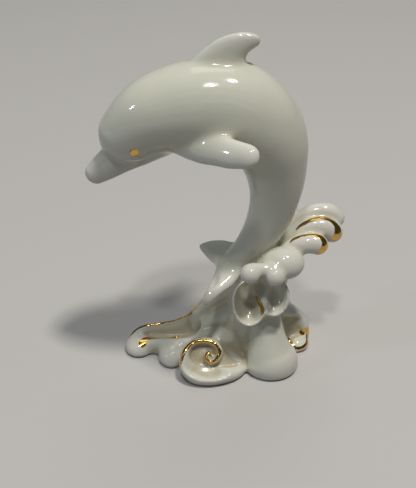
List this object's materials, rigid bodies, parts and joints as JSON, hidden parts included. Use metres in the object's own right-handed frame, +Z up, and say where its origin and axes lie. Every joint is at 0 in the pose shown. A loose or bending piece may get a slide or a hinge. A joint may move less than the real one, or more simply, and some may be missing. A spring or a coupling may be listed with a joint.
{
  "type": "dolphin figurine",
  "caption": "Glazed porcelain dolphin that leaps out of a scrolling wave, cast in one piece, an ornament that stands on its own flat foot.",
  "frame": {"origin": "on the flat foot, below the dolphin's midplane and between the wave's trunk and its tongue", "axes": "+Z up, -X the way the dolphin's head points, -Y out of its left flank, which is the figurine's front"},
  "size_m": [0.0711, 0.0402, 0.1005],
  "materials": {
    "porcelain": "ivory, clear gloss glaze",
    "gilding": "bright gold lustre painted over the glaze"
  },
  "bodies": {
    "root": {"dolphin_on_wave": "porcelain"}
  },
  "joints": []
}
